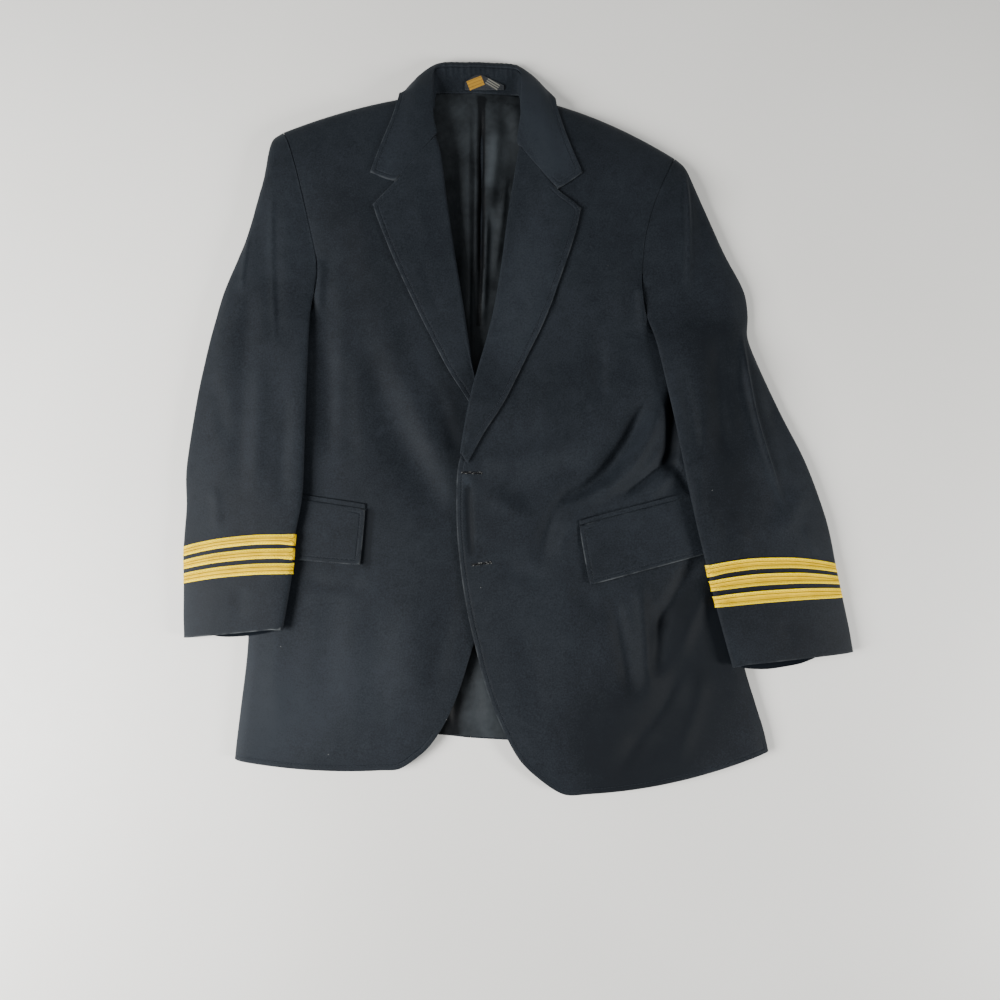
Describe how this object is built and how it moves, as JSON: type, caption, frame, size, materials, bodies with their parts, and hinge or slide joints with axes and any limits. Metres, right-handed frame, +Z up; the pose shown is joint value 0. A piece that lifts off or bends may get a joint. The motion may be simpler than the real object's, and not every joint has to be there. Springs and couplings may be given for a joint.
{
  "type": "pilot uniform jacket",
  "caption": "Single-breasted navy uniform jacket laid flat and open at the neck, with notched lapels, flap pockets and gold braid round the cuffs.",
  "frame": {"origin": "centre of the bounding box's bottom, on the surface that the jacket lies on", "axes": "+X to the wearer's left, +Y from the hem to the collar, +Z up off the surface, out of the jacket's front"},
  "size_m": [0.7481, 0.8594, 0.0318],
  "materials": {
    "navy_twill": "matte dark navy serge twill",
    "gold_braid": "woven gold lace braid",
    "black_satin": "smooth black satin lining",
    "label_cloth": "woven label with a plain gold field"
  },
  "bodies": {
    "root": {"front_left": "navy_twill", "front_right": "navy_twill", "lapel_left": "navy_twill", "lapel_right": "navy_twill", "collar_leaf": "navy_twill", "collar_stand": "navy_twill", "back_left": "navy_twill", "back_right": "navy_twill", "side_left": "navy_twill", "side_right": "navy_twill", "topsleeve_left": "navy_twill", "topsleeve_right": "navy_twill", "undersleeve_left": "navy_twill", "undersleeve_right": "navy_twill", "flap_left": "navy_twill", "flap_right": "navy_twill", "jet_left": "navy_twill", "jet_right": "navy_twill", "braid_left_1": "gold_braid", "braid_left_2": "gold_braid", "braid_left_3": "gold_braid", "braid_right_1": "gold_braid", "braid_right_2": "gold_braid", "braid_right_3": "gold_braid", "lining_back": "black_satin", "neck_label": "label_cloth"}
  },
  "joints": []
}
